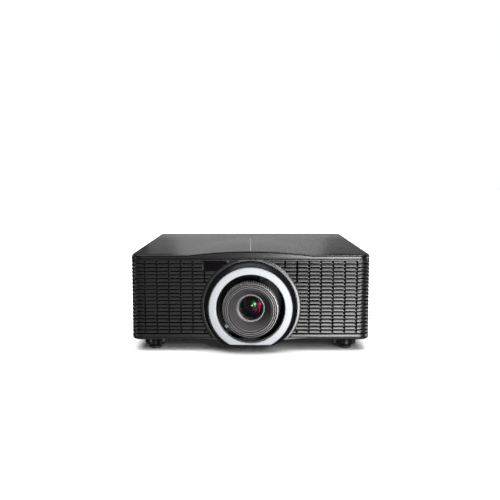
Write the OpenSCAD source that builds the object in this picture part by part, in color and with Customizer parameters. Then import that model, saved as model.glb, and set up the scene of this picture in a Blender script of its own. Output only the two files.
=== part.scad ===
// Installation projector with an interchangeable, motor-shifted lens.
// Millimetres. The origin is on the ground, under the middle of the whole object.
// The lens looks towards -Y, +X is to the right of someone facing the lens, +Z is up.

/* [Body] */
// Width of the cabinet
body_w = 484; // [476:1:500]
// Depth of the cabinet, front face to rear face
body_d = 500; // [490:1:520]
// Height of the cabinet's sides, base to top skin
side_h = 173; // [173:1:180]
// Height of the feet under the cabinet
foot_h = 24.5; // [22:0.5:26]
// Radius of the cabinet's corners seen from above
corner_r = 22; // [18:1:26]
// Rise of the lid's hump over the lens
hump_h = 8; // [4:1:12]

/* [Louvres] */
// Distance from one louvre bar to the next
bar_pitch = 7.5; // [7.4:0.05:7.6]
// Height of one bar
bar_h = 4.2; // [3:0.1:5]
// Depth of a bar
bar_deep = 7; // [6:0.5:7]
// Number of bars
bar_rows = 20; // [18:1:20]
// Distance between the upright slots in the bars
slot_pitch = 24; // [24:1:26]
// Width of an upright slot
slot_w = 2.3; // [1.5:0.1:3]
// Depth of an upright slot
slot_deep = 3; // [1:0.5:3.5]

/* [Lens] */
// Height of the lens axis above the base
axis_h = 67; // [66:1:68]
// How far the lens stands out of the front face
lens_out = 36; // [34:1:40]
// Outer radius of the flange around the lens opening
flange_r = 101; // [99:1:102]
// Radius of the collar where it meets the front face
collar_r = 94; // [92:1:95]
// Outer radius of the trim ring
ring_r = 84; // [82:1:85]
// Inner radius of the trim ring
ring_in_r = 69.2; // [67:0.2:70]
// How far the trim ring stands out of the front face
ring_out = 20; // [18:1:24]
// Height of the lens axis above the ring's flat bottom
ring_flat = 72.7; // [72:0.1:74]
// Radius of the lens's front
lens_r = 54.5; // [53:0.5:55]
// Ribs round the focus and zoom rings
grip_ribs = 76; // [60:4:80]
// Travel of the vertical lens shift each way
shift_v = 5; // [2:0.5:5]
// Radius of the front glass
glass_r = 25; // [20:1:25]

/* [Feet] */
// Distance of the feet from the middle, left and right
foot_x = 197; // [190:1:200]
// Distance of the feet in from the front and rear faces
foot_in = 37; // [36:1:60]
// Radius of a foot's wheel
wheel_r = 22; // [18:1:23]
// Lobes around a foot's wheel
wheel_lobes = 10; // [8:1:14]
// Radius of a foot's stud
stud_r = 4; // [3:0.5:5]

/* [Ceiling mount] */
// Distance between the mounting holes, left to right
mount_x = 300; // [280:1:310]
// Distance between the mounting holes, front to rear
mount_y = 240; // [220:1:250]
// Radius of a mounting hole
mount_hole_r = 3; // [2.5:0.5:4]

/* [Hidden] */
$fn = 64;
eps = 0.01;
gap = 0.3;              // parting gap between covers
run = 0.05;             // radial clearance of a running fit
wall_t = 3;

// heights
base_z = foot_h;
floor_z = base_z + 3.5;                      // top of the base plate
top_z = base_z + side_h;                     // top skin
axis_z = base_z + axis_h;
rail_low_z = floor_z + 8;                    // top of the lower rail
lid_z = top_z - 8.3;                         // underside of the lid
rail_high_z = lid_z - 3.4;                   // underside of the upper rail
bars_z = rail_low_z + 2.15;                  // underside of the lowest bar

// depths
front_y = -(body_d + lens_out) / 2 + lens_out;
rear_y = front_y + body_d;
body_cy = (front_y + rear_y) / 2;
lens_front_y = front_y - lens_out;
wrap_y = front_y + 42;                       // where the front louvres end on the sides
rear_wrap_y = rear_y - 22;                   // where the rear panel starts on the sides

half_w = body_w / 2;
slot_first_x = 21;
slot_count = 9;
hump_rx = 125;                               // half width of the hump
hump_ry = 358;                               // length of the hump

ring_y = front_y - ring_out;
window_x = -95;
window_w = 47;
window_z = lid_z - 24;

// lens mount stack, front to rear
flange_y = front_y + 20;
tube_r = 40;
carriage_y = flange_y + 8;
frame_y = front_y + 41;
engine_y = frame_y + 8.5;

lever_pin = [-61, axis_z - 25];              // pivot of the lens lock lever

// light path
prism_y = front_y + 140;
fan_z = base_z + 68;
fan_half = 46;
fan_x = half_w - 9;
fan_t = 25;
fan_places = [[1, front_y + 112], [1, front_y + 272], [-1, front_y + 172]];

// rear panel
rear_plate_y = rear_y - 1.5;
rear_half = 178;
recess = [-118, base_z + 22, 210, 96];       // left, low, width, height
recess_deep = 9;
recess_floor_y = rear_plate_y - recess_deep;
board_y = rear_y - 22;
inlet_x = -145;
inlet_z = base_z + 41;
rocker_z = base_z + 79;
rocker_tilt = 5;                             // the rocker rests tipped to one side
keys_x = 138;
nav_z = base_z + 66;
nav_r = 16;
upper_keys_z = base_z + 102;
lights_z = base_z + 119;
screw_low_z = base_z + 20;
screw_high_z = base_z + 150;
screw_places = [
    [-168, screw_low_z], [168, screw_low_z], [-168, screw_high_z], [168, screw_high_z], [0, screw_high_z]
];

// sockets on the rear: kind, middle x, middle z
row_1 = base_z + 96;
row_2 = base_z + 56;
sockets = [
    ["slab", -98, row_1], ["slab", -72, row_1], ["jack", -46, row_1], ["dsub", -14, row_1],
    ["bnc", 22, row_1], ["bnc", 44, row_1], ["net", -98, row_2], ["net", -74, row_2],
    ["usb", -48, row_2], ["dsub", -14, row_2], ["jack", 20, row_2], ["jack", 36, row_2]
];

wheel_z = 10;                                // underside of a wheel's lobes
feet = [
    [-foot_x, front_y + foot_in], [foot_x, front_y + foot_in],
    [-foot_x, rear_y - foot_in - 23], [foot_x, rear_y - foot_in - 23]
];

// ---------- helpers ----------

// box from its low corner and size
module block(low, size) {
    translate(low) cube(size);
}

// box between two corners
module span(low, high) {
    block(low, high - low);
}

// children drawn in (radius, y) coordinates turn about the lens axis
module on_axis() {
    translate([0, 0, axis_z]) rotate([-90, 0, 0]) children();
}

// tube about the lens axis
module axis_tube(r_out, r_in, y0, y1) {
    on_axis() translate([0, 0, y0]) difference() {
        cylinder(r = r_out, h = y1 - y0);
        translate([0, 0, -1]) cylinder(r = r_in, h = y1 - y0 + 2);
    }
}

// solid disc about the lens axis
module axis_disc(r, y0, y1) {
    on_axis() translate([0, 0, y0]) cylinder(r = r, h = y1 - y0);
}

// round bar along +Y from a point
module bar_y(place, r, length) {
    translate(place) rotate([-90, 0, 0]) cylinder(r = r, h = length);
}

// round bar along +X from a point
module bar_x(place, r, length) {
    translate(place) rotate([0, 90, 0]) cylinder(r = r, h = length);
}

// outline of the cabinet seen from above, moved in by inset
module plan(inset) {
    w = body_w - 2 * inset;
    d = body_d - 2 * inset;
    r = corner_r - inset;
    translate([0, body_cy]) {
        square([w - 2 * r, d], center = true);
        square([w, d - 2 * r], center = true);
        for (sx = [-1, 1], sy = [-1, 1])
            translate([sx * (w / 2 - r), sy * (d / 2 - r)]) circle(r);
    }
}

// band of the outline between two insets
module plan_band(outer, inner) {
    difference() {
        plan(outer);
        plan(inner);
    }
}

// a layer of the outline's band between two heights
module band(outer, inner, z0, z1) {
    translate([0, 0, z0]) linear_extrude(z1 - z0) plan_band(outer, inner);
}

// region kept by one side's front louvre
module front_region(side) {
    translate([side > 0 ? 0 : -body_w, front_y - 1]) square([body_w, wrap_y - front_y + 1]);
}

// height of a bar's underside
function bar_z(row) = bars_z + row * bar_pitch;

// edge rounding: quarter-round profile of radius r swept along the outline
module rounded_rim(r, z) {
    w = body_w - 2 * corner_r;
    d = body_d - 2 * corner_r;
    for (quarter = [0 : 3])
        translate([(quarter == 0 || quarter == 3 ? 1 : -1) * w / 2,
                   body_cy + (quarter < 2 ? 1 : -1) * d / 2, z])
            rotate([0, 0, 90 * quarter])
                rotate_extrude(angle = 90) translate([corner_r - r, 0]) quarter_round(r);
    for (sx = [0, 180])
        translate([0, body_cy, z]) rotate([0, 0, sx]) {
            translate([body_w / 2 - r, d / 2, 0]) rotate([90, 0, 0]) linear_extrude(d) quarter_round(r);
            translate([-w / 2, body_d / 2 - r, 0]) rotate([90, 0, 90]) linear_extrude(w) quarter_round(r);
        }
}

module quarter_round(r) {
    intersection() {
        translate([0, r]) circle(r);
        square(r);
    }
}

// ---------- cabinet ----------

module louvre_bars(side) {
    for (row = [0 : bar_rows - 1])
        translate([0, 0, bar_z(row)]) linear_extrude(bar_h) difference() {
            intersection() {
                plan_band(0, bar_deep);
                front_region(side);
            }
            for (k = [0 : slot_count - 1])
                translate([side * (slot_first_x + k * slot_pitch) - slot_w / 2, front_y - 1])
                    square([slot_w, slot_deep + 1]);
        }
}

module front_louvre(side) {
    difference() {
        union() {
            louvre_bars(side);
            for (k = [0 : slot_count - 1])
                block([side * (slot_first_x + k * slot_pitch) - 2, front_y + 4.5, rail_low_z + gap],
                      [4, 3.5, rail_high_z - rail_low_z - 2 * gap]);
            block([side > 0 ? half_w - 8 : -half_w + 4.5, wrap_y - 4, rail_low_z + gap],
                  [3.5, 4, rail_high_z - rail_low_z - 2 * gap]);
        }
        axis_disc(flange_r + 2.4, front_y - 5, front_y + 12);
        span([window_x - 2, front_y - 1, window_z - 2], [0, front_y + 12, lid_z]);
    }
}

module left_front_louvre() {
    color("#242426") front_louvre(-1);
}

module right_front_louvre() {
    color("#242426") front_louvre(1);
}

module fascia_rails() {
    for (z = [[floor_z, rail_low_z], [rail_high_z, lid_z - gap]])
        translate([0, 0, z[0]]) linear_extrude(z[1] - z[0]) intersection() {
            plan_band(0, 9);
            translate([-body_w, front_y - 1]) square([2 * body_w, wrap_y - front_y + 1]);
        }
}

module front_fascia() {
    color("#202022") difference() {
        union() {
            fascia_rails();
            intersection() {
                union() {
                    axis_disc(flange_r + 2, front_y, front_y + 4);
                    axis_disc(flange_r, front_y - 3, front_y + 1);
                }
                span([-body_w, front_y - 10, floor_z], [body_w, front_y + 10, lid_z - gap]);
            }
            span([window_x - 1.7, front_y + 3, window_z - 1.7], [0, front_y + 6, lid_z - 1]);
            span([window_x - 1.7, front_y, window_z - 1.7], [window_x - 0.2, front_y + 6, rail_high_z]);
            span([window_x - 1.7, front_y, window_z - 1.7], [-60, front_y + 6, window_z - 0.2]);
        }
        axis_disc(ring_in_r + 3, front_y - 20, front_y + 20);
        axis_disc(collar_r + 0.4, front_y - 20, front_y);
    }
}

module sensor_window() {
    color("#08080a") difference() {
        span([window_x, front_y + 0.4, window_z], [window_x + window_w, front_y + 3, rail_high_z - 0.2]);
        axis_disc(flange_r + 2.2, front_y - 5, front_y + 8);
    }
}

module side_panel(side) {
    length_y = rear_wrap_y - wrap_y - 2 * gap;
    start_y = wrap_y + gap;
    mirror([side > 0 ? 0 : 1, 0, 0]) {
        for (row = [0 : bar_rows - 1])
            block([half_w - bar_deep, start_y, bar_z(row)], [bar_deep, length_y, bar_h]);
        for (z = [[floor_z, rail_low_z], [rail_high_z, lid_z - gap]])
            block([half_w - 9, start_y, z[0]], [9, length_y, z[1] - z[0]]);
        difference() {
            block([half_w - 9, start_y, rail_low_z], [2, length_y, rail_high_z - rail_low_z]);
            for (place = fan_places)
                if (place[0] == side) bar_x([half_w - 20, place[1], fan_z], fan_half - 3, 30);
        }
    }
}

module left_side_panel() {
    color("#242426") side_panel(-1);
}

module right_side_panel() {
    color("#242426") side_panel(1);
}

module rear_bars() {
    for (row = [0 : bar_rows - 1])
        translate([0, 0, bar_z(row)]) linear_extrude(bar_h) difference() {
            intersection() {
                plan_band(0, 4);
                translate([-body_w, rear_wrap_y]) square([2 * body_w, 30]);
            }
            translate([-rear_half, rear_wrap_y - 1]) square([2 * rear_half, 40]);
        }
}

module rear_panel() {
    low = [recess[0], recess[1]];
    high = low + [recess[2], recess[3]];
    color("#242426") difference() {
        union() {
            rear_bars();
            translate([0, 0, floor_z]) linear_extrude(lid_z - gap - floor_z) intersection() {
                plan_band(3.5, 6.5);
                translate([-body_w, rear_wrap_y]) square([2 * body_w, 30]);
            }
            for (z = [[floor_z, rail_low_z], [rail_high_z, lid_z - gap]])
                translate([0, 0, z[0]]) linear_extrude(z[1] - z[0]) intersection() {
                    plan_band(0, 6.5);
                    translate([-body_w, rear_wrap_y]) square([2 * body_w, 30]);
                }
            span([-rear_half, rear_plate_y - 5, rail_low_z - 1], [rear_half, rear_plate_y, rail_high_z + 1]);
            span([low[0] - 3, recess_floor_y - 3, low[1] - 3], [high[0] + 3, rear_plate_y, high[1] + 3]);
            for (x = [low[0] + 6, high[0] - 6], z = [low[1] + 6, high[1] - 6])
                bar_y([x, board_y + 1.6, z], 3, recess_floor_y - board_y - 2);
        }
        span([low[0], recess_floor_y, low[1]], [high[0], rear_y + 5, high[1]]);
        for (s = sockets)
            socket_body(s, 0.3);
        span([inlet_x - 13.8, rear_y - 30, inlet_z - 10.3], [inlet_x + 13.8, rear_y + 5, inlet_z + 10.3]);
        span([inlet_x - 11, rear_y - 30, rocker_z - 10], [inlet_x + 11, rear_y + 5, rocker_z + 10]);
        for (k = key_places)
            bar_y([k[0], rear_y - 30, k[1]], k[2] + gap, 40);
        for (x = [-12, 0, 12])
            bar_y([keys_x + x, rear_y - 30, lights_z], 1.7, 40);
        for (s = screw_places)
            bar_y([s[0], rear_y - 30, s[1]], 1.8, 40);
    }
}

module base_tray() {
    belly_r = collar_r - 4;
    belly_d = 58;
    color("#1a1a1c") difference() {
        union() {
            translate([0, 0, base_z]) linear_extrude(floor_z - base_z) plan(3.5);
            rounded_rim(3.5, base_z);
            // locating lip inside the panels
            difference() {
                band(9.4, 11.4, floor_z - eps, floor_z + 10.5);
                span([-85, front_y, floor_z - 1], [85, front_y + 30, floor_z + 20]);
            }
            // belly under the lens
            intersection() {
                axis_disc(belly_r, front_y, front_y + belly_d);
                span([-100, front_y, axis_z - 73.5], [100, front_y + belly_d, base_z + 1]);
            }
            // foot bosses
            for (f = feet)
                translate([f[0], f[1], base_z]) cylinder(r = 8, h = 20);
            // ceiling mount bosses
            for (sx = [-1, 1], sy = [-1, 1])
                translate([sx * mount_x / 2, sy * mount_y / 2, base_z]) cylinder(r = 8, h = 12);
            // posts that carry the engine, the lasers and the power supply
            for (p = [[-45, engine_y + 18, 6], [45, engine_y + 18, 6], [-45, engine_y + 108, 6],
                      [45, engine_y + 108, 6], [-175, 30, 5], [-85, 30, 5], [-175, 218, 5],
                      [-85, 218, 5]])
                translate([p[0], p[1], base_z]) cylinder(r = p[2], h = 13);
            for (y = [prism_y - 30, prism_y + 30])
                translate([164, y, base_z]) cylinder(r = 6, h = 23);
        }
        // the belly is hollow
        intersection() {
            axis_disc(belly_r - 3, front_y + 3, front_y + belly_d - 3);
            span([-100, front_y + 3, axis_z - 70.5], [100, front_y + belly_d - 3, floor_z + 1]);
        }
        for (f = feet)
            translate([f[0], f[1], base_z - 1]) cylinder(r = stud_r + run, h = 30);
        for (sx = [-1, 1], sy = [-1, 1])
            translate([sx * mount_x / 2, sy * mount_y / 2, base_z - 1]) cylinder(r = mount_hole_r, h = 11);
    }
}

// height of the hump at a fraction of its half width and of its length
function hump_at(u, v) = hump_h * (1 - u * u - v * v);

// half paraboloid over the lens, flat on the lid and cut upright at the front
module hump() {
    rings = 10;
    arcs = 36;
    top = [for (i = [0 : rings], j = [0 : arcs])
        let (rho = i / rings, a = 180 * j / arcs)
            [hump_rx * rho * cos(a), front_y + 0.8 + hump_ry * rho * sin(a),
             top_z - 0.5 + hump_at(rho * cos(a), rho * sin(a)) + 0.5 * (1 - rho)]];
    low = [for (p = top) [p[0], p[1], top_z - 1]];
    n = len(top);
    row = arcs + 1;
    caps = [for (i = [0 : rings - 1], j = [0 : arcs - 1])
        let (a = i * row + j, b = a + 1, c = a + row, d = c + 1)
            each [[a, b, d], [a, d, c], [n + a, n + d, n + b], [n + a, n + c, n + d]]];
    rim = [for (j = [0 : arcs - 1])
        let (a = rings * row + j)
            each [[a, a + 1, n + a + 1], [a, n + a + 1, n + a]]];
    front = [for (i = [0 : rings - 1])
        let (a = i * row, b = (i + 1) * row, c = i * row + arcs, d = (i + 1) * row + arcs)
            each [[a, b, n + b], [a, n + b, n + a], [d, c, n + c], [d, n + c, n + d]]];
    polyhedron(points = concat(top, low), faces = concat(caps, rim, front), convexity = 4);
}

module top_cover() {
    groove_z = top_z - 2.8;
    color("#6a6b6e") {
        difference() {
            union() {
                translate([0, 0, lid_z]) linear_extrude(groove_z - lid_z) plan(0);
                translate([0, 0, groove_z - eps]) linear_extrude(top_z - groove_z) plan(2.5);
                translate([0, 0, top_z - 1.4]) linear_extrude(1.4) plan(0.8);
            }
            translate([0, 0, lid_z - 1]) linear_extrude(top_z - wall_t - lid_z + 1) plan(wall_t);
        }
        hump();
    }
}

module cover_screws() {
    color("#55565a") for (s = screw_places) {
        difference() {
            bar_y([s[0], rear_plate_y, s[1]], 3.2, 1.5);
            bar_y([s[0], rear_plate_y + 0.7, s[1]], 1.3, 1);
        }
        bar_y([s[0], rear_plate_y - 14, s[1]], 1.6, 14 + eps);
    }
}

// ---------- lens surround ----------

module lens_collar() {
    color("#060607") intersection() {
        on_axis() rotate_extrude() polygon([
            [ring_in_r + 3, front_y - 4], [ring_r + gap, front_y - 4], [ring_r + gap, ring_y],
            [ring_r + 1.5, ring_y], [collar_r, front_y], [ring_in_r + 3, front_y]
        ]);
        span([-body_w, ring_y - 10, axis_z - ring_flat - 1.8], [body_w, front_y, axis_z + body_w]);
    }
    color("#060607") intersection() {
        axis_disc(ring_r + 1.5, ring_y, front_y);
        span([-body_w, ring_y, axis_z - ring_flat - 1.8], [body_w, front_y, axis_z - ring_flat - gap]);
    }
}

module lens_trim_ring() {
    color("#e6e9ee") intersection() {
        on_axis() rotate_extrude() difference() {
            translate([ring_in_r, ring_y]) square([ring_r - ring_in_r, ring_out - 4]);
            translate([ring_r - 1.5, ring_y]) difference() {
                translate([0, -1]) square([3, 2.5]);
                translate([0, 1.5]) circle(1.5);
            }
            translate([ring_in_r, ring_y]) difference() {
                translate([-1, -1]) square([2.5, 2.5]);
                translate([1.5, 1.5]) circle(1.5);
            }
        }
        span([-body_w, ring_y - 10, axis_z - ring_flat], [body_w, front_y, axis_z + body_w]);
    }
}

// ---------- lens ----------

module front_cell() {
    face_y = lens_front_y;
    color("#2a2b2d") difference() {
        on_axis() rotate_extrude() polygon([
            [41.5, face_y], [lens_r, face_y], [lens_r, face_y + 4.5], [44, face_y + 4.5],
            [44, face_y + 42], [22, face_y + 42], [22, face_y + 39], [glass_r + gap, face_y + 39],
            [glass_r + gap, face_y + 27], [28.5, face_y + 27], [28.5, face_y + 24.5]
        ]);
        // concentric grooves in the front face
        for (k = [0 : 3])
            on_axis() translate([0, 0, face_y - 1]) difference() {
                cylinder(r = lens_r - 2.1 - 2.7 * k, h = 1.8);
                translate([0, 0, -1]) cylinder(r = lens_r - 3.4 - 2.7 * k, h = 4);
            }
    }
}

module retaining_ring() {
    color("#c8cacd") axis_tube(28.2, glass_r - 0.8, lens_front_y + 24.8, lens_front_y + 27);
}

// convex disc of glass about the lens axis
module lens_glass(r, y0, y1, bulge) {
    ball_r = (r * r + bulge * bulge) / (2 * bulge);
    axis_disc(r, y0, y1);
    intersection() {
        on_axis() translate([0, 0, y0 - bulge + ball_r]) sphere(ball_r);
        axis_disc(r, y0 - bulge - 1, y0 + eps);
    }
}

module front_lens() {
    color("#10181a") lens_glass(glass_r, lens_front_y + 31, lens_front_y + 38.5, 3.5);
}

// ring about the lens axis with ribs along it
module ribbed_ring(r_in, r_body, r_ribs, ribs, y0, y1) {
    on_axis() translate([0, 0, y0]) linear_extrude(y1 - y0) difference() {
        union() {
            circle(r_body);
            for (k = [0 : ribs - 1])
                rotate(360 * k / ribs) translate([0, -1.1]) square([r_ribs, 2.2]);
        }
        circle(r_in);
    }
}

module focus_ring() {
    color("#1c1d1f") ribbed_ring(47.8, 54, 56.5, grip_ribs, lens_front_y + 6.5, lens_front_y + 30);
}

module zoom_ring() {
    color("#1c1d1f") ribbed_ring(47.8, 50.5, 52.5, grip_ribs, lens_front_y + 33.5, lens_front_y + 50);
}

module lens_barrel() {
    color("#202124") {
        axis_tube(47.5, 44.3, lens_front_y + 8, flange_y + 1);
        axis_tube(49, 47, lens_front_y + 30.6, lens_front_y + 32.9);
        axis_tube(49.5, 44.3, flange_y, flange_y + 4);
        axis_tube(49.5, 36, flange_y + 4, flange_y + 8);
        axis_tube(tube_r, tube_r - 4, flange_y + 8 - eps, flange_y + 92);
    }
}

module zoom_group() {
    color("#303236") axis_tube(35.6, 24, flange_y + 14, flange_y + 50);
    color("#304048") axis_disc(24, flange_y + 22, flange_y + 30);
}

module lens_lock_lever() {
    pin = lever_pin;
    color("#2c2d30") translate([0, flange_y - 4, 0]) rotate([90, 0, 0]) linear_extrude(6) difference() {
        union() {
            translate(pin + [-6, 0]) square([8, 54]);
            translate(pin + [-2, 54]) circle(4);
            translate(pin) circle(7);
            translate(pin + [16, -23]) circle(4.5);
            translate(pin) rotate(-55) translate([0, -4]) square([28, 8]);
        }
        translate(pin) circle(3 + run);
    }
}

module horizontal_carriage() {
    color("#3a3b3e") {
        difference() {
            union() {
                span([-66, carriage_y, axis_z - 50], [66, carriage_y + 6, axis_z + 50]);
                span([18, carriage_y - 5, axis_z + 50 - eps], [26, carriage_y + 6, axis_z + 67]);
            }
            axis_disc(tube_r + gap, carriage_y - 1, carriage_y + 10);
            bar_x([0, carriage_y - 0.5, axis_z + 62], 2.3, 60);
        }
        bar_y([lever_pin[0], flange_y - 12, lever_pin[1]], 3, carriage_y - flange_y + 12);
    }
}

module vertical_carriage() {
    y0 = carriage_y + 6.5;
    color("#4a4b4f") difference() {
        union() {
            span([-76, y0, axis_z - 56], [76, y0 + 6, axis_z + 71]);
            span([76 - eps, y0 - 6, axis_z - 5], [98, y0 + 3, axis_z + 5]);
        }
        axis_disc(tube_r + shift_v, y0 - 1, y0 + 10);
        translate([90, y0 - 1.5, axis_z - 20]) cylinder(r = 2.3, h = 40);
    }
}

module lens_mount_frame() {
    color("#2c2d30") difference() {
        union() {
            span([-100, frame_y, floor_z], [100, frame_y + 8, axis_z + 76]);
            span([-100, frame_y + 8 - eps, floor_z], [100, frame_y + 18, floor_z + 4]);
        }
        // room for the lens tube over the whole shift
        axis_disc(tube_r + shift_v + 7, frame_y - 1, frame_y + 20);
        for (x = [-45, 45])
            translate([x, engine_y + 18, floor_z - 1]) cylinder(r = 6.5, h = 10);
    }
}

module vertical_shift_motor() {
    x = 90;
    y = carriage_y + 5;
    color("#303134") {
        span([x - 10, y - 9, axis_z + 26], [x + 10, frame_y, axis_z + 61]);
        translate([x, y, axis_z - 38]) cylinder(r = 2, h = 65);
        span([x - 6, y - 6, axis_z - 45], [x + 6, frame_y, axis_z - 38 + eps]);
    }
}

module horizontal_shift_motor() {
    y1 = carriage_y + 6.5;
    color("#303134") {
        span([-34, y1 - 14, axis_z + 55], [0, y1, axis_z + 69]);
        bar_x([-eps, carriage_y - 0.5, axis_z + 62], 2, 36);
    }
}

// ---------- light engine ----------

module engine_housing() {
    low_z = base_z + 13;
    color("#2c2d30") difference() {
        span([-60, engine_y, low_z], [60, engine_y + 122, low_z + 110]);
        span([-56, engine_y + 4, low_z + 4], [56, engine_y + 118, low_z + 106]);
        axis_disc(tube_r + shift_v + 3, engine_y - 1, engine_y + 5);
        span([-16, engine_y + 117, axis_z - 12], [16, engine_y + 123, axis_z + 12]);
        span([55, prism_y - 5, axis_z - 4], [61, prism_y + 5, axis_z + 4]);
    }
    color("#8a8c90") span([-20, prism_y - 18, low_z + 3], [20, prism_y + 18, axis_z - 17]);
}

module prism_block() {
    color("#9fb6c0") span([-17, prism_y - 17, axis_z - 17], [17, prism_y + 17, axis_z + 17]);
}

module imaging_chip() {
    y0 = engine_y + 122;
    color("#2f6b45") {
        span([-36, y0, axis_z - 30], [36, y0 + 1.6, axis_z + 30]);
        span([-15, y0 - 3, axis_z - 11], [15, y0 + eps, axis_z + 11]);
    }
}

module chip_heat_sink() {
    y0 = engine_y + 123.6;
    color("#26272a") {
        span([-32, y0, axis_z - 28], [32, y0 + 6, axis_z + 28]);
        for (x = [-31 : 6.2 : 31])
            span([x - 1, y0 + 6 - eps, axis_z - 28], [x + 1, y0 + 30, axis_z + 28]);
    }
}

module light_rod() {
    color("#cfe4ea") span([18, prism_y - 3.5, axis_z - 2.5], [62, prism_y + 3.5, axis_z + 2.5]);
}

module colour_wheel() {
    color("#3a4450") bar_x([66, prism_y + 23, axis_z], 30, 1.2);
    color("#303134") bar_x([67.2 - eps, prism_y + 23, axis_z], 9, 4);
}

module phosphor_wheel() {
    color("#4a4936") bar_x([116, prism_y + 25, axis_z], 32, 1.6);
    color("#303134") bar_x([117.6 - eps, prism_y + 25, axis_z], 12, 4);
}

module wheel_motors() {
    color("#3a3b3e") for (m = [[71.6, 23, 10], [122, 25, 14]]) {
        bar_x([m[0], prism_y + m[1], axis_z], m[2], 14);
        span([m[0] + 4, prism_y + m[1] - 5, floor_z], [m[0] + 10, prism_y + m[1] + 5, axis_z - m[2] + 2]);
    }
}

module laser_bank() {
    color("#2a2b2e") difference() {
        span([150, prism_y - 42, base_z + 23], [178, prism_y + 42, base_z + 113]);
        for (y = [-28 : 14 : 28], z = [-28 : 14 : 28])
            bar_x([149, prism_y + y, axis_z + z], 4, 8);
    }
}

module laser_heat_sink() {
    color("#26272a") {
        span([178, prism_y - 44, base_z + 22], [183, prism_y + 44, base_z + 114]);
        for (z = [base_z + 23 : 7.5 : base_z + 113])
            span([183 - eps, prism_y - 44, z], [204, prism_y + 44, z + 1.2]);
    }
}

module fan_frame(side, y) {
    mirror([side > 0 ? 0 : 1, 0, 0]) {
        difference() {
            span([fan_x - fan_t, y - fan_half, fan_z - fan_half], [fan_x, y + fan_half, fan_z + fan_half]);
            bar_x([fan_x - fan_t - 1, y, fan_z], fan_half - 3, fan_t + 2);
        }
        bar_x([fan_x - fan_t, y, fan_z], 16, 3);
        for (a = [45 : 90 : 315])
            translate([fan_x - fan_t, y, fan_z]) rotate([a, 0, 0]) translate([0, 14, -1.5])
                cube([3, fan_half - 16, 3]);
    }
}

module fan_frames() {
    color("#1c1d1f") for (place = fan_places)
        fan_frame(place[0], place[1]);
}

module fan_rotor(place) {
    blades = 7;
    hub_x = fan_x - fan_t + 4;
    color("#2a2b2e") mirror([place[0] > 0 ? 0 : 1, 0, 0]) {
        bar_x([hub_x, place[1], fan_z], 17, 18);
        intersection() {
            bar_x([hub_x, place[1], fan_z], fan_half - 4.5, 18);
            for (k = [0 : blades - 1])
                translate([hub_x + 9, place[1], fan_z]) rotate([360 * k / blades, 0, 0])
                    translate([0, 0, 28]) rotate([0, 0, 40]) cube([1.6, 20, 30], center = true);
        }
    }
}

// ---------- electronics ----------

module main_board() {
    color("#1f5a38") {
        span([-124, board_y, base_z + 16], [98, board_y + 1.6, base_z + 130]);
        for (x = [-80, -20, 50])
            span([x, board_y - 9, base_z + 68], [x + 34, board_y + eps, base_z + 102]);
    }
}

module power_supply() {
    color("#303134") difference() {
        span([-185, 18, base_z + 13], [-72, 230, base_z + 78]);
        span([-182, 21, base_z + 16], [-75, 227, base_z + 75]);
        for (y = [40 : 12 : 210])
            span([-160, y, base_z + 70], [-95, y + 5, base_z + 80]);
    }
}

module mains_inlet() {
    color("#0c0c0d") difference() {
        union() {
            span([inlet_x - 17, rear_plate_y, inlet_z - 13], [inlet_x + 17, rear_y, inlet_z + 13]);
            span([inlet_x - 13.5, rear_y - 22, inlet_z - 10], [inlet_x + 13.5, rear_y - 1, inlet_z + 10]);
        }
        span([inlet_x - 12.2, rear_y - 17, inlet_z - 8.2], [inlet_x + 12.2, rear_y + 1, inlet_z + 8.2]);
    }
    color("#c9b26a") for (p = [[-7, -1.5], [7, -1.5], [0, 2.5]])
        span([inlet_x + p[0] - 1, rear_y - 18, inlet_z + p[1] - 2],
             [inlet_x + p[0] + 1, rear_y - 4, inlet_z + p[1] + 2]);
}

module power_rocker() {
    color("#141415") translate([inlet_x - 10, rear_y - 6, rocker_z]) rotate([90, 0, 90])
        linear_extrude(20) rotate(rocker_tilt) {
            rotate(6) translate([-3, -8.6]) square([7, 8.6]);
            rotate(-6) translate([-3, 0]) square([7, 8.6]);
            circle(4);
        }
}

// outer shape of one socket, grown by a clearance
module socket_body(s, grow) {
    y0 = board_y + 1.6 - grow;
    y1 = recess_floor_y + 3;
    if (s[0] == "slab") socket_box(s, 15.5, 6.5, grow, y0, y1);
    if (s[0] == "net") socket_box(s, 16, 14, grow, y0, y1);
    if (s[0] == "usb") socket_box(s, 14.5, 7.5, grow, y0, y1);
    if (s[0] == "dsub") socket_box(s, 31, 12.5, grow, y0, y1);
    if (s[0] == "jack") bar_y([s[1], y0, s[2]], 4 + grow, y1 - y0);
    if (s[0] == "bnc") bar_y([s[1], y0, s[2]], 5 + grow, y1 - y0);
}

module socket_box(s, w, h, grow, y0, y1) {
    span([s[1] - w / 2 - grow, y0, s[2] - h / 2 - grow], [s[1] + w / 2 + grow, y1, s[2] + h / 2 + grow]);
}

// hollow inside one socket
module socket_mouth(s) {
    y0 = board_y + 4;
    y1 = recess_floor_y + 4;
    if (s[0] == "slab") difference() {
        socket_box(s, 14, 5, 0, y0, y1);
        socket_box(s, 11, 1.2, 0, y0, y1 - 2);
    }
    if (s[0] == "net") socket_box(s, 12, 8.6, 0, y0, y1);
    if (s[0] == "usb") difference() {
        socket_box(s, 12.6, 5.6, 0, y0, y1);
        translate([0, 0, 1]) socket_box(s, 11, 2, 0, y0, y1 - 2);
    }
    if (s[0] == "dsub") difference() {
        socket_box(s, 25, 10, 0, y0 + 5, y1);
        socket_box(s, 22, 7, 0, y0, y1 - 2);
    }
    if (s[0] == "jack") bar_y([s[1], y0, s[2]], 1.8, y1 - y0);
    if (s[0] == "bnc") difference() {
        bar_y([s[1], y0, s[2]], 4, y1 - y0);
        bar_y([s[1], y0 - 1, s[2]], 1, y1 - y0);
    }
}

module rear_sockets() {
    color("#8d9094") for (s = sockets)
        difference() {
            socket_body(s, 0);
            socket_mouth(s);
        }
}

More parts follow.
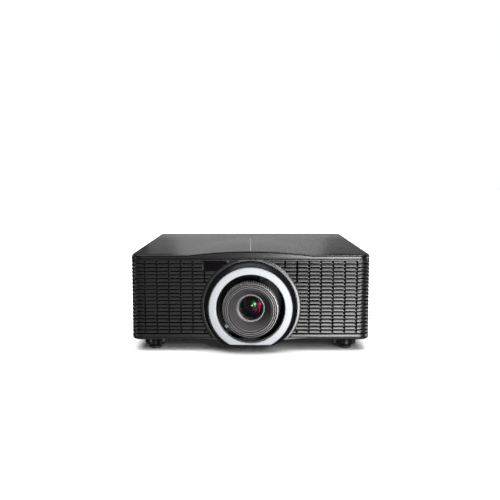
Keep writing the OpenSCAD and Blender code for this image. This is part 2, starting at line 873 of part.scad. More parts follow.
module status_lights() {
    color("#b8d8c0") for (x = [-12, 0, 12])
        bar_y([keys_x + x, rear_plate_y - 9, lights_z], 1.5, 9.5);
}

// keys on the rear: middle x, middle z, radius
key_places = [
    [keys_x - 16, upper_keys_z, 5.5], [keys_x + 16, upper_keys_z, 5.5], [keys_x, nav_z + nav_r, 5],
    [keys_x, nav_z - nav_r, 5], [keys_x + nav_r, nav_z, 5], [keys_x - nav_r, nav_z, 5], [keys_x, nav_z, 6]
];

module key(number) {
    place = key_places[number];
    color("#3c3d40") {
        bar_y([place[0], rear_plate_y - 7, place[1]], place[2], 8.2);
        bar_y([place[0], rear_plate_y - 8, place[1]], place[2] + 1.2, 2.5);
    }
}

// ---------- feet ----------

module foot_wheel(place) {
    color("#101011") translate([place[0], place[1], 0]) {
        difference() {
            union() {
                translate([0, 0, wheel_z]) linear_extrude(foot_h - 3 - wheel_z) difference() {
                    circle(wheel_r);
                    for (k = [0 : wheel_lobes - 1])
                        rotate(360 * k / wheel_lobes) translate([wheel_r + 1.2, 0]) circle(3.4);
                }
                translate([0, 0, 5]) cylinder(r1 = 13, r2 = wheel_r - 3, h = wheel_z - 5 + eps);
            }
            translate([0, 0, 4]) cylinder(r = 5 + run, h = 7);
        }
        translate([0, 0, foot_h - 3 - eps]) cylinder(r = stud_r, h = 21);
    }
}

module foot_pad(place) {
    color("#0a0a0a") translate([place[0], place[1], 0]) {
        cylinder(r = 12, h = 4.6);
        translate([0, 0, 4.6 - eps]) cylinder(r = 5, h = 6);
    }
}

base_tray();
top_cover();
front_fascia();
left_front_louvre();
right_front_louvre();
left_side_panel();
right_side_panel();
rear_panel();
lens_collar();
lens_trim_ring();
sensor_window();
lens_mount_frame();
vertical_carriage();
horizontal_carriage();
vertical_shift_motor();
horizontal_shift_motor();
lens_barrel();
zoom_ring();
focus_ring();
zoom_group();
front_cell();
retaining_ring();
front_lens();
lens_lock_lever();
engine_housing();
prism_block();
imaging_chip();
chip_heat_sink();
light_rod();
colour_wheel();
phosphor_wheel();
wheel_motors();
laser_bank();
laser_heat_sink();
fan_frames();
fan_rotor(fan_places[0]);  // front_right_fan
fan_rotor(fan_places[1]);  // rear_right_fan
fan_rotor(fan_places[2]);  // left_fan
main_board();
power_supply();
mains_inlet();
power_rocker();
rear_sockets();
status_lights();
key(0);  // key_power
key(1);  // key_menu
key(2);  // key_up
key(3);  // key_down
key(4);  // key_left
key(5);  // key_right
key(6);  // key_enter
foot_wheel(feet[0]);  // front_left_wheel
foot_wheel(feet[1]);  // front_right_wheel
foot_wheel(feet[2]);  // rear_left_wheel
foot_wheel(feet[3]);  // rear_right_wheel
foot_pad(feet[0]);  // front_left_pad
foot_pad(feet[1]);  // front_right_pad
foot_pad(feet[2]);  // rear_left_pad
foot_pad(feet[3]);  // rear_right_pad
cover_screws();
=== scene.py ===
"""An installation projector in a pale studio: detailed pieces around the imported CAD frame, in metres."""
import math

import bmesh
import bpy
from mathutils import Matrix, Vector


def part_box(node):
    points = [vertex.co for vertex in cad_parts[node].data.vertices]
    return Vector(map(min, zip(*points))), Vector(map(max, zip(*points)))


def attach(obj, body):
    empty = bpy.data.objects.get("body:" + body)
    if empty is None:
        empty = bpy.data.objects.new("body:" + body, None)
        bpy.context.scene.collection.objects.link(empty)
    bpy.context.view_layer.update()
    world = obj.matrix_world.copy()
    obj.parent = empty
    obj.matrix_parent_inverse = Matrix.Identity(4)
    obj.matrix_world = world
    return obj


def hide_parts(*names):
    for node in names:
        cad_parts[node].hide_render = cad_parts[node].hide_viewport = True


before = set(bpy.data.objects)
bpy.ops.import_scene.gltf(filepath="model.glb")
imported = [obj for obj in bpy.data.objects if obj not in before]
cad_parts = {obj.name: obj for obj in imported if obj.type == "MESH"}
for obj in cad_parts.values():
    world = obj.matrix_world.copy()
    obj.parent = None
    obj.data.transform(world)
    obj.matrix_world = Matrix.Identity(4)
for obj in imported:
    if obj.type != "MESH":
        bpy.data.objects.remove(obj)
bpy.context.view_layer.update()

MM = 0.001

# ---------- places taken from the frame ----------
LID_LOW, LID_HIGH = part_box("top_cover")
PANEL_LOW, PANEL_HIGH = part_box("left_side_panel")
RING_LOW, RING_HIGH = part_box("lens_trim_ring")
FOCUS_LOW, FOCUS_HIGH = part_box("focus_ring")
CELL_LOW, CELL_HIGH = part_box("front_cell")

HALF_W = LID_HIGH.x
FRONT_Y = LID_LOW.y
REAR_Y = LID_HIGH.y
LID_Z = LID_LOW.z
FLOOR_Z = PANEL_LOW.z
PANEL_TOP = PANEL_HIGH.z
AXIS_Z = (FOCUS_LOW.z + FOCUS_HIGH.z) / 2
WRAP_Y = PANEL_LOW.y
REAR_WRAP_Y = PANEL_HIGH.y

# ---------- sizes of the lid ----------
HUMP_H = 8 * MM
HUMP_HALF_W = 125 * MM
HUMP_LENGTH = 358 * MM
# the inlaid line stands this much above the lid, which lies that much lower than in the CAD
INLAY_LIFT = 0.15 * MM
INLAY_LENGTH = 338 * MM
TOP_Z = LID_HIGH.z - HUMP_H - INLAY_LIFT
CORNER_R = 22 * MM

# ---------- sizes of the louvres ----------
BAR_PITCH = 7.5 * MM
BAR_H = 4.2 * MM
BROW_H = 1.3 * MM
BAR_DEEP = 7 * MM
BAR_ROWS = 20
BARS_Z = FLOOR_Z + 10.15 * MM
RAIL_LOW_TOP = FLOOR_Z + 8 * MM
RAIL_HIGH_LOW = LID_Z - 3.4 * MM
RAIL_DEEP = 9 * MM
SLOT_PITCH = 24 * MM
SLOT_FIRST = 21 * MM
SLOTS_FRONT = 9
SLOTS_SIDE = 17
SLOT_W = 2.8 * MM
SLOT_DEEP = 5.8 * MM
SLOT_SLOPE = 3.4 * MM
CHAMFER_W = 1.5 * MM
CHAMFER_DEEP = 1 * MM
JOIN_GAP = 0.4 * MM
FAN_HOLE_R = 43 * MM

# ---------- sizes of the lens and its surround ----------
FLANGE_R = 101 * MM
COLLAR_R = 94 * MM
RING_R = 84 * MM
RING_IN_R = 69.2 * MM
RING_Y = RING_LOW.y
RING_FLAT_Z = RING_LOW.z
LENS_FRONT_Y = CELL_LOW.y
LENS_R = CELL_HIGH.x
GLASS_R = 25 * MM
GRIP_BORE_R = 47.8 * MM
GRIP_RIBS = 76
GRIP_R = FOCUS_HIGH.x

FEET = ("front_left", "front_right", "rear_left", "rear_right")
KEYS = ("power", "menu", "up", "down", "left", "right", "enter")


# ---------- camera ----------
def make_camera():
    """A camera in front of the lens, a little above the lid and tilted down."""
    tilt_down = 6.43
    data = bpy.data.cameras.new("camera")
    data.sensor_width = 36
    data.lens = 48.38
    camera = bpy.data.objects.new("camera", data)
    camera.location = (-0.0012, -1.5686, 0.3586)
    camera.rotation_euler = (math.radians(90 - tilt_down), 0, 0)
    bpy.context.scene.collection.objects.link(camera)
    bpy.context.scene.camera = camera


make_camera()


# ---------- materials ----------
class Nodes:
    """A material's node tree with short calls to add and join nodes."""

    def __init__(self, name):
        self.material = bpy.data.materials.new(name)
        self.material.use_nodes = True
        self.tree = self.material.node_tree
        self.shader = self.tree.nodes["Principled BSDF"]
        self.place = self.add("ShaderNodeTexCoord").outputs["Object"]

    def add(self, kind, **inputs):
        node = self.tree.nodes.new(kind)
        for key, value in inputs.items():
            node.inputs[key.replace("_", " ")].default_value = value
        return node

    def join(self, output, socket):
        self.tree.links.new(output, socket)

    def noise(self, scale, detail=3.0):
        node = self.add("ShaderNodeTexNoise", Scale=scale, Detail=detail)
        self.join(self.place, node.inputs["Vector"])
        return node.outputs["Fac"]

    def ramp(self, fac, low, high):
        node = self.add("ShaderNodeValToRGB")
        for element, colour, position in zip(node.color_ramp.elements, (low, high), (0.3, 0.7)):
            element.color = (*colour, 1)
            element.position = position
        self.join(fac, node.inputs["Fac"])
        return node.outputs["Color"]

    def span(self, fac, low, high):
        node = self.add("ShaderNodeMapRange", To_Min=low, To_Max=high)
        self.join(fac, node.inputs["Value"])
        return node.outputs["Result"]

    def bump(self, height, distance):
        node = self.add("ShaderNodeBump", Strength=1.0, Distance=distance)
        self.join(height, node.inputs["Height"])
        self.join(node.outputs["Normal"], self.shader.inputs["Normal"])


def shade(colour, factor):
    return tuple(min(1.0, c * factor) for c in colour)


def surface(name, colour, rough, metallic=0.0, grain=2200.0, depth=0.02, vary=0.12, specular=0.5):
    """Colour mottle, uneven gloss and a fine grain of the given depth in millimetres.

    It is the base of every moulded, painted or cast surface.
    """
    n = Nodes(name)
    cloud = n.noise(35.0, 4.0)
    n.join(n.ramp(cloud, shade(colour, 1 - vary), shade(colour, 1 + vary)), n.shader.inputs["Base Color"])
    n.join(n.span(n.noise(160.0, 5.0), rough * 0.85, min(1.0, rough * 1.15)), n.shader.inputs["Roughness"])
    n.shader.inputs["Metallic"].default_value = metallic
    n.shader.inputs["Specular IOR Level"].default_value = specular
    n.bump(n.noise(grain, 2.0), depth * MM)
    return n


MATERIALS = {}


def cabinet_materials(m):
    m["cabinet"] = surface(
        "cabinet plastic", (0.007, 0.007, 0.0075), 0.3, grain=2600, depth=0.003, specular=0.55)
    m["lid"] = surface("lid paint", (0.006, 0.006, 0.0065), 0.24, grain=3000, depth=0.001, specular=0.4)
    m["base"] = surface("base paint", (0.012, 0.012, 0.013), 0.45, grain=1800, depth=0.02)
    m["window"] = surface("dark window", (0.003, 0.002, 0.003), 0.08, grain=120, depth=0.002, specular=0.1)
    m["inlay"] = surface("inlay", (0.27, 0.275, 0.28), 0.5, grain=2000, depth=0.005, vary=0.04)
    m["screw"] = surface("black steel", (0.06, 0.06, 0.065), 0.3, metallic=1.0, grain=1500, depth=0.01)
    m["wheel"] = surface(
        "wheel plastic", (0.004, 0.004, 0.0045), 0.4, grain=1700, depth=0.01, specular=0.2)
    m["rubber"] = surface("rubber", (0.014, 0.014, 0.014), 0.75, grain=1400, depth=0.06)


def surround_materials(m):
    m["flange"] = surface(
        "flange plastic", (0.006, 0.006, 0.0065), 0.28, grain=2600, depth=0.003, specular=0.7)
    m["gloss"] = surface("gloss black", (0.006, 0.006, 0.007), 0.2, grain=400, depth=0.004, specular=0.07)
    m["silver"] = surface("silver satin", (0.41, 0.425, 0.445), 0.42, grain=3500, depth=0.004, vary=0.02)


def lens_materials(m):
    m["lens black"] = surface("lens black", (0.03, 0.03, 0.032), 0.3, grain=2800, depth=0.006, specular=0.9)
    # painted highlight: the focus grip is a lighter grey than the lens so its ribs read bright in the trim
    # ring's shadow
    m["grip"] = surface("grip grey as painted highlight", (0.22, 0.22, 0.225), 0.35, grain=2800, depth=0.004)
    m["lens grey"] = surface("lens face", (0.03, 0.0275, 0.029), 0.34, grain=2400, depth=0.004, specular=1.0)
    m["ring metal"] = surface("ring metal", (0.12, 0.12, 0.125), 0.42, metallic=1.0, grain=1500, depth=0.006)
    m["mark"] = surface("printed mark", (0.42, 0.43, 0.44), 0.5, grain=2000, depth=0.005, vary=0.04)
    m["glass"] = coated_glass("optical glass", (0.9, 0.06, 0.22), 0.25, 0.16, alpha=0.34)
    m["green coat"] = coated_glass("green coating", (0.05, 0.9, 0.3), 1.0, 0.24)
    m["warm coat"] = coated_glass("warm coating", (1.0, 0.86, 0.6), 1.0, 0.16)


def inner_materials(m):
    # painted shade: the cast frames, engine housing and laser bank are coloured near black so the inside of
    # the cabinet stays dark through the louvre gaps
    m["cast"] = surface("inner castings dark as painted shade", (0.006, 0.006, 0.0065), 0.6, grain=1200, depth=0.04, specular=0.25)
    m["dark metal"] = surface(
        "dark metal", (0.006, 0.006, 0.0065), 0.5, grain=2400, depth=0.02, specular=0.2)
    m["bright"] = surface("bright metal", (0.34, 0.34, 0.35), 0.26, metallic=1.0, grain=1500, depth=0.006)
    m["heat sink"] = surface("heat sink", (0.012, 0.012, 0.013), 0.45, grain=900, depth=0.02)
    m["board"] = surface("solder mask", (0.010, 0.09, 0.045), 0.3, grain=700, depth=0.03)
    # painted shade: the power supply's sheet is coloured near black so it stays dark inside the cabinet
    m["steel"] = surface("sheet dark as painted shade", (0.014, 0.014, 0.015), 0.45, grain=260, depth=0.01, vary=0.2)
    m["fan"] = surface("fan plastic", (0.02, 0.02, 0.022), 0.5, grain=1400, depth=0.03)
    m["disc"] = surface("coated disc", (0.10, 0.10, 0.07), 0.25, metallic=0.5, grain=500, depth=0.01)


def rear_materials(m):
    m["socket"] = surface("nickel", (0.45, 0.45, 0.46), 0.28, metallic=1.0, grain=900, depth=0.01)
    m["inlet"] = surface("moulded black", (0.012, 0.012, 0.013), 0.5, grain=1600, depth=0.04)
    m["key"] = surface("key silicone", (0.05, 0.05, 0.054), 0.6, grain=1800, depth=0.03)
    m["pipe"] = surface("light pipe", (0.35, 0.62, 0.42), 0.2, grain=600, depth=0.01)


def coated_glass(name, tint, level, rough, alpha=1.0):
    """Polished black glass whose coating colours what it reflects; a low alpha lets the inside show."""
    n = Nodes(name)
    n.join(n.ramp(n.noise(60.0), (0.001, 0.002, 0.002), (0.003, 0.004, 0.004)), n.shader.inputs["Base Color"])
    n.join(n.span(n.noise(90.0), rough * 0.8, rough * 1.2), n.shader.inputs["Roughness"])
    n.shader.inputs["Alpha"].default_value = alpha
    n.shader.inputs["Specular IOR Level"].default_value = level
    n.shader.inputs["Specular Tint"].default_value = (*tint, 1)
    n.shader.inputs["IOR"].default_value = 1.5
    return n


for make in (cabinet_materials, surround_materials, lens_materials, inner_materials, rear_materials):
    make(MATERIALS)


# ---------- mesh helpers ----------
def add_piece(name, bm, material, body, replaces=(), angle=35, bevel=0.0):
    """Turns a bmesh into a piece that rides on a body, smooth except across edges sharper than angle."""
    bmesh.ops.remove_doubles(bm, verts=bm.verts, dist=1e-6)
    bmesh.ops.recalc_face_normals(bm, faces=bm.faces)
    limit = math.radians(angle)
    for face in bm.faces:
        face.smooth = True
    for edge in bm.edges:
        edge.smooth = len(edge.link_faces) == 2 and edge.calc_face_angle(0.0) < limit
    mesh = bpy.data.meshes.new(name)
    bm.to_mesh(mesh)
    bm.free()
    piece = bpy.data.objects.new(name, mesh)
    bpy.context.scene.collection.objects.link(piece)
    mesh.materials.append(MATERIALS[material].material)
    if bevel:
        modifier = piece.modifiers.new("bevel", "BEVEL")
        modifier.width = bevel
        modifier.segments = 2
        modifier.limit_method = "ANGLE"
        modifier.angle_limit = math.radians(40)
    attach(piece, body)
    if replaces:
        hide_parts(*replaces)
    return piece


def loft(bm, loops, caps=True):
    """Skins a list of equally long closed loops of points, with an n-gon on each end."""
    rows = [[bm.verts.new(p) for p in loop] for loop in loops]
    count = len(rows[0])
    for a, b in zip(rows, rows[1:]):
        for i in range(count):
            j = (i + 1) % count
            bm.faces.new((a[i], a[j], b[j], b[i]))
    if caps:
        bm.faces.new(list(reversed(rows[0])))
        bm.faces.new(rows[-1])
    return rows


def about_axis(r, y, angle):
    """A point at a radius and angle about the lens axis."""
    return r * math.cos(angle), y, AXIS_Z + r * math.sin(angle)


def lathe(bm, profile, segments):
    """Turns a closed outline of (radius, y) points about the lens axis."""
    rows = []
    for i in range(segments):
        a = 2 * math.pi * i / segments
        rows.append([bm.verts.new(about_axis(r, y, a)) for r, y in profile])
    count = len(profile)
    for i in range(segments):
        a, b = rows[i], rows[(i + 1) % segments]
        for j in range(count):
            k = (j + 1) % count
            bm.faces.new((a[j], a[k], b[k], b[j]))


def disc_lathe(bm, profile, segments=128):
    """Turns an open outline of (radius, y) points that starts and ends on the lens axis."""
    first = bm.verts.new((0, profile[0][1], AXIS_Z))
    last = bm.verts.new((0, profile[-1][1], AXIS_Z))
    rows = []
    for i in range(segments):
        a = 2 * math.pi * i / segments
        rows.append([bm.verts.new(about_axis(r, y, a)) for r, y in profile[1:-1]])
    for i in range(segments):
        a, b = rows[i], rows[(i + 1) % segments]
        bm.faces.new((first, a[0], b[0]))
        bm.faces.new((last, b[-1], a[-1]))
        for j in range(len(a) - 1):
            bm.faces.new((a[j], a[j + 1], b[j + 1], b[j]))


def cut(bm, point, normal):
    """Removes what lies beyond a plane and closes the cut."""
    geometry = bm.verts[:] + bm.edges[:] + bm.faces[:]
    result = bmesh.ops.bisect_plane(bm, geom=geometry, plane_co=point, plane_no=normal, clear_outer=True)
    edges = [e for e in result["geom_cut"] if isinstance(e, bmesh.types.BMEdge)]
    bmesh.ops.triangle_fill(bm, edges=edges, use_beauty=True)


def arc(cx, cy, r, start, end, steps):
    """Points on an arc, angles in degrees."""
    angles = [math.radians(start + (end - start) * i / steps) for i in range(steps + 1)]
    return [(cx + r * math.cos(a), cy + r * math.sin(a)) for a in angles]


def rounded_box(bm, low, high, r=0.5 * MM):
    """Box with chamfered edges, each corner cut by r."""
    geometry = bmesh.ops.create_cube(bm, size=1.0)
    centre = (Vector(low) + Vector(high)) / 2
    size = Vector(high) - Vector(low)
    for v in geometry["verts"]:
        v.co = centre + Vector(v.co[i] * size[i] for i in range(3))
    edges = list({e for v in geometry["verts"] for e in v.link_edges})
    bmesh.ops.bevel(bm, geom=edges, offset=r, segments=2, affect="EDGES", profile=0.5)


# ---------- the cabinet's outline ----------
def outline_point(x, y, inset):
    """Moves a point of the rounded outline inwards by inset."""
    reach = HALF_W - CORNER_R
    core_x = max(-reach, min(reach, x))
    core_y = max(FRONT_Y + CORNER_R, min(REAR_Y - CORNER_R, y))
    away = Vector((x - core_x, y - core_y))
    away.normalize()
    return x - away.x * inset, y - away.y * inset


def corner_points(sx, front, steps=14):
    """Points round one corner, from the front or rear face to the side."""
    cx = sx * (HALF_W - CORNER_R)
    cy = FRONT_Y + CORNER_R if front else REAR_Y - CORNER_R
    sy = -1 if front else 1
    points = []
    for i in range(steps + 1):
        a = math.radians(90 * i / steps)
        points.append((cx + sx * CORNER_R * math.sin(a), cy + sy * CORNER_R * math.cos(a)))
    return points


# ---------- louvres ----------
# a bar's cross-section as inset from the outline and height, with a soft lower edge and a sloping brow
BAR_PROFILE = [
    (0.9 * MM, 0), (0.3 * MM, 0.25 * MM), (0, 0.9 * MM), (0, BAR_H - 0.3 * MM),
    (0.1 * MM, BAR_H), (0.6 * MM, BAR_H + BROW_H), (1.2 * MM, BAR_H + BROW_H + 0.2 * MM),
    (2.2 * MM, BAR_H), (BAR_DEEP, BAR_H), (BAR_DEEP, 0)
]


def bar_loop(x, y, z, notch):
    """One cross-section of a bar, its outer part pushed in by notch."""
    loop = []
    for inset, up in BAR_PROFILE:
        depth = inset if inset >= BAR_DEEP - MM else min(inset + notch, BAR_DEEP - MM)
        px, py = outline_point(x, y, depth)
        loop.append((px, py, z + up))
    return loop


def slot_stations(positions, low, high, mirror=False):
    """Pairs of place and notch depth along a bar: each slot has a sloping floor and one chamfered wall."""
    half = SLOT_W / 2
    shape = [(-half - 0.3 * MM, 0), (-half, 0.3 * MM), (-half + 0.05 * MM, SLOT_DEEP - SLOT_SLOPE),
             (half - 0.05 * MM, SLOT_DEEP), (half, CHAMFER_DEEP), (half + CHAMFER_W, 0)]
    if mirror:
        shape = [(-x, depth) for x, depth in reversed(shape)]
    stations = []
    for p in positions:
        if low + 4 * MM < p < high - 3 * MM:
            stations += [(p + x, depth) for x, depth in shape]
    return stations


def round_cut(x_side, z, r):
    """Where a bar at height z meets a circle of radius r about the lens axis."""
    up = z - AXIS_Z
    return x_side * math.sqrt(max(r * r - up * up, 0))


def front_bar(bm, side, row, positions):
    """One bar from the lens flange or the sensor window, round the corner to the side panel."""
    z = BARS_Z + row * BAR_PITCH
    cut_r = FLANGE_R - 0.5 * MM
    window_low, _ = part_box("sensor_window")
    meets_window = side < 0 and z + BAR_H > window_low.z - 1.8 * MM
    start = round_cut(1, z if z > AXIS_Z else z + BAR_H, cut_r)
    if meets_window:
        start = -window_low.x + 2 * MM
    corner_x = HALF_W - CORNER_R
    slots = slot_stations(positions, start, corner_x + 3 * MM, side < 0)
    stations = [(start, 0)] + slots + [(corner_x, 0)]
    loops = [bar_loop(side * x, FRONT_Y, z, notch) for x, notch in stations if x <= corner_x]
    if not meets_window:
        loops[0] = [(round_cut(side, pz, cut_r), py, pz) for _, py, pz in loops[0]]
    loops += [bar_loop(x, y, z, 0) for x, y in corner_points(side, True)[1:]]
    loops.append(bar_loop(side * HALF_W, WRAP_Y - JOIN_GAP, z, 0))
    loft(bm, loops)


def front_louvre(side):
    """The front's bars on one side of the lens, with the posts that carry them."""
    bm = bmesh.new()
    positions = [SLOT_FIRST + k * SLOT_PITCH for k in range(SLOTS_FRONT)]
    for row in range(BAR_ROWS):
        front_bar(bm, side, row, positions)
    half_post = 1.5 * MM
    for position in positions:
        if position > 100 * MM:
            x = side * position
            rounded_box(bm, (x - half_post, FRONT_Y + 6 * MM, RAIL_LOW_TOP),
                        (x + half_post, FRONT_Y + 8 * MM, RAIL_HIGH_LOW), 0.3 * MM)
    x_in, x_out = sorted((side * (HALF_W - 8 * MM), side * (HALF_W - 4.5 * MM)))
    rounded_box(bm, (x_in, WRAP_Y - 4 * MM, RAIL_LOW_TOP),
                (x_out, WRAP_Y - 0.5 * MM, RAIL_HIGH_LOW), 0.3 * MM)
    word = side_word(side)
    add_piece(f"{word}_front_louvre_bars", bm, "cabinet", "cabinet", [f"{word}_front_louvre"],
              angle=22)


def side_word(side):
    return "left" if side < 0 else "right"


def side_louvre(side):
    """A side panel: slotted bars between two rails, and a skin behind them."""
    bm = bmesh.new()
    start, end = WRAP_Y + 0.1 * MM, REAR_WRAP_Y - 0.1 * MM
    first = FRONT_Y + 57 * MM
    positions = [first + k * SLOT_PITCH for k in range(SLOTS_SIDE)]
    for row in range(BAR_ROWS):
        z = BARS_Z + row * BAR_PITCH
        stations = [(start, 0)] + slot_stations(positions, start, end) + [(end, 0)]
        loft(bm, [bar_loop(side * HALF_W, y, z, notch) for y, notch in stations])
    for low, high in ((FLOOR_Z, RAIL_LOW_TOP), (RAIL_HIGH_LOW, PANEL_TOP)):
        x_in, x_out = sorted((side * (HALF_W - RAIL_DEEP), side * HALF_W))
        rounded_box(bm, (x_in, start, low), (x_out, end, high), 0.7 * MM)
    # the skin has a round window over each fan on this side
    fans = [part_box(fan) for fan in ("front_right_fan", "rear_right_fan", "left_fan")]
    holes = [((low.y + high.y) / 2, (low.z + high.z) / 2) for low, high in fans if (low.x > 0) == (side > 0)]
    side_skin(bm, side * (HALF_W - 8 * MM), start, end, holes)
    word = side_word(side)
    add_piece(f"{word}_side_louvre", bm, "cabinet", "cabinet", [f"{word}_side_panel"],
              angle=22)


def side_skin(bm, x, start, end, holes):
    """Flat wall with round holes, 1 mm thick."""
    segments = 48
    thick = 1.0 * MM
    edges = []
    outline = [(start, RAIL_LOW_TOP), (end, RAIL_LOW_TOP), (end, RAIL_HIGH_LOW), (start, RAIL_HIGH_LOW)]
    rings = [outline]
    rings += [arc(y, z, FAN_HOLE_R, 0, 360 - 360 / segments, segments - 1) for y, z in holes]
    for ring in rings:
        verts = [bm.verts.new((x, y, z)) for y, z in ring]
        edges += [bm.edges.new((verts[i], verts[(i + 1) % len(verts)])) for i in range(len(verts))]
    filled = bmesh.ops.triangle_fill(bm, edges=edges, use_beauty=True)
    faces = [g for g in filled["geom"] if isinstance(g, bmesh.types.BMFace)]
    made = bmesh.ops.extrude_face_region(bm, geom=faces)
    moved = [g for g in made["geom"] if isinstance(g, bmesh.types.BMVert)]
    bmesh.ops.translate(bm, verts=moved, vec=(-math.copysign(thick, x), 0, 0))


# ---------- fascia ----------
def rail(bm, points, low, high, deep, r=0.8 * MM):
    """A rail of the outline between two heights, with softened outer edges."""
    profile = [(r, low), (0.3 * r, low + 0.3 * r), (0, low + r), (0, high - r),
               (0.3 * r, high - 0.3 * r), (r, high), (deep, high), (deep, low)]
    loops = []
    for x, y in points:
        loops.append([(*outline_point(x, y, inset), z) for inset, z in profile])
    loft(bm, loops)


def front_path(x_from, x_to):
    """Outline points along the front; None as an end means the side panel there."""
    left = [(-HALF_W, WRAP_Y - JOIN_GAP)] + list(reversed(corner_points(-1, True)))
    right = corner_points(1, True) + [(HALF_W, WRAP_Y - JOIN_GAP)]
    points = left if x_from is None else [(x_from, FRONT_Y)]
    return points + (right if x_to is None else [(x_to, FRONT_Y)])


def front_fascia():
    """The rails above and below the bars, the fairings beside the collar and the sensor window's frame."""
    bm = bmesh.new()
    rail(bm, front_path(None, None), RAIL_HIGH_LOW, PANEL_TOP, RAIL_DEEP)
    reach = 77 * MM
    rail(bm, front_path(None, -reach), FLOOR_Z, RAIL_LOW_TOP, RAIL_DEEP)
    rail(bm, front_path(reach, None), FLOOR_Z, RAIL_LOW_TOP, RAIL_DEEP)
    for side in (-1, 1):
        chin(bm, side)
    window_frame(bm)
    add_piece("fascia_rails", bm, "cabinet", "cabinet", ["front_fascia"])


def window_frame(bm):
    """A post beside the sensor window, a sill under it and a plate behind them."""
    low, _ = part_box("sensor_window")
    x0, z0 = low.x - 1.6 * MM, low.z - 1.6 * MM
    back = FRONT_Y + 6 * MM
    gap = 0.2 * MM
    rounded_box(bm, (x0, FRONT_Y + 1.5 * MM, z0), (low.x - gap, back, RAIL_HIGH_LOW), 0.3 * MM)
    rounded_box(bm, (x0, FRONT_Y, z0), (-60 * MM, back, low.z - gap), 0.3 * MM)
    rounded_box(bm, (x0, FRONT_Y + 3 * MM, z0), (-40 * MM, back, LID_Z - 1 * MM), 0.3 * MM)


def lens_flange():
    """Round raised flange about the collar, cut off at the lid and the floor of the cabinet."""
    bm = bmesh.new()
    y = FRONT_Y
    inner = RING_IN_R + 3 * MM
    lathe(bm, [(inner, y), (COLLAR_R + 0.5 * MM, y), (COLLAR_R + 0.6 * MM, y - 2.4 * MM),
               (COLLAR_R + 1.0 * MM, y - 2.9 * MM), (FLANGE_R - 0.9 * MM, y - 3 * MM),
               (FLANGE_R - 0.2 * MM, y - 2.6 * MM), (FLANGE_R + 0.2 * MM, y - 1.6 * MM),
               (FLANGE_R + 0.6 * MM, y), (FLANGE_R + 1.6 * MM, y + 4 * MM), (inner, y + 4 * MM)], 240)
    cut(bm, (0, 0, LID_Z - 0.4 * MM), (0, 0, 1))
    cut(bm, (0, 0, FLOOR_Z + 0.1 * MM), (0, 0, -1))
    add_piece("lens_flange", bm, "flange", "cabinet")


def chin(bm, side):
    """Fairing under the lower rail that dips towards the collar."""
    drop, near, far = 3.4 * MM, 66 * MM, 118 * MM
    top = FLOOR_Z + 1.5 * MM
    loops = []
    steps = 14
    for i in range(steps + 1):
        x = side * (near + (far - near) * i / steps)
        low = FLOOR_Z - drop * (1 - smooth(i / steps))
        loops.append([(x, FRONT_Y + 0.6 * MM, low), (x, FRONT_Y, low + 0.5 * MM), (x, FRONT_Y, top),
                      (x, FRONT_Y + 3 * MM, top), (x, FRONT_Y + 3 * MM, low)])
    loft(bm, loops)


def smooth(t):
    """Eases from 0 to 1."""
    return t * t * (3 - 2 * t)


def sensor_window():
    """Dark window whose inner end follows the flange."""
    low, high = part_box("sensor_window")
    r = FLANGE_R + 1.6 * MM
    steps = 24
    points = [(low.x, low.z)]
    for i in range(steps + 1):
        z = low.z + (high.z - low.z) * i / steps
        points.append((min(max(round_cut(-1, z, r), low.x), high.x), z))
    points.append((low.x, high.z))
    bm = bmesh.new()
    loft(bm, [[(x, y, z) for x, z in points] for y in (high.y, low.y)])
    add_piece("infrared_window", bm, "window", "cabinet", ["sensor_window"], bevel=0.4 * MM)


# ---------- lid ----------
def hump_at(x, y):
    """Rise of the lid over the lens at a place."""
    u = x / HUMP_HALF_W
    v = (y - FRONT_Y) / HUMP_LENGTH
    return max(0.0, HUMP_H * (1 - u * u - v * v))


def lid_outline(inset, spacing=5 * MM):
    """The whole outline as a loop from the hump's right end, and how many points span the hump."""
    steps = int(2 * HUMP_HALF_W / spacing)
    points = [(HUMP_HALF_W * (1 - 2 * i / steps), FRONT_Y) for i in range(steps + 1)]
    points += [(CORNER_R - HALF_W + 0.5 * MM, FRONT_Y)]
    points += corner_points(-1, True)
    points += [(-HALF_W, FRONT_Y + 150 * MM), (-HALF_W, REAR_Y - 150 * MM)]
    points += list(reversed(corner_points(-1, False)))
    points += [(0.0, REAR_Y)]
    points += corner_points(1, False)
    points += [(HALF_W, REAR_Y - 150 * MM), (HALF_W, FRONT_Y + 150 * MM)]
    points += list(reversed(corner_points(1, True)))
    return [outline_point(x, y, inset) for x, y in points], steps + 1


def lid_layers():
    """The lid's edge from the bottom up: inset, height and how much of the hump's rise each loop takes."""
    lip, top = LID_Z, TOP_Z
    return [
        (3.0 * MM, lip, 0), (0.8 * MM, lip, 0), (0.2 * MM, lip + 0.3 * MM, 0), (0, lip + 0.9 * MM, 0),
        (0, top - 3.5 * MM, 1), (0.2 * MM, top - 3.1 * MM, 1), (0.7 * MM, top - 2.9 * MM, 1),
        # the seam under the lid's edge
        (6.0 * MM, top - 3.3 * MM, 1), (6.0 * MM, top - 1.2 * MM, 1), (1.1 * MM, top - 1.3 * MM, 1),
        (0.9 * MM, top - 1.1 * MM, 1), (1.0 * MM, top - 0.5 * MM, 1), (1.5 * MM, top - 0.12 * MM, 1),
        (2.6 * MM, top, 1)
    ]


def top_cover():
    """The lid: its edge, the hump over the lens and the flat skin around it."""
    bm = bmesh.new()
    loops = []
    for inset, z, share in lid_layers():
        points, front_count = lid_outline(inset)
        loop = []
        for x, y in points:
            on_front = y < FRONT_Y + 10 * MM
            loop.append((x, y, z + (share * hump_at(x, FRONT_Y) if on_front else 0)))
        loops.append(loop)
    rim = loft(bm, loops, caps=False)[-1]
    foot = lid_hump(bm, rim[:front_count])
    flat_face = bm.faces.new(rim[front_count - 1:] + [rim[0]] + foot[1:-1])
    bmesh.ops.triangulate(bm, faces=[flat_face])
    add_piece("lid", bm, "lid", "cabinet", ["top_cover"], angle=24)


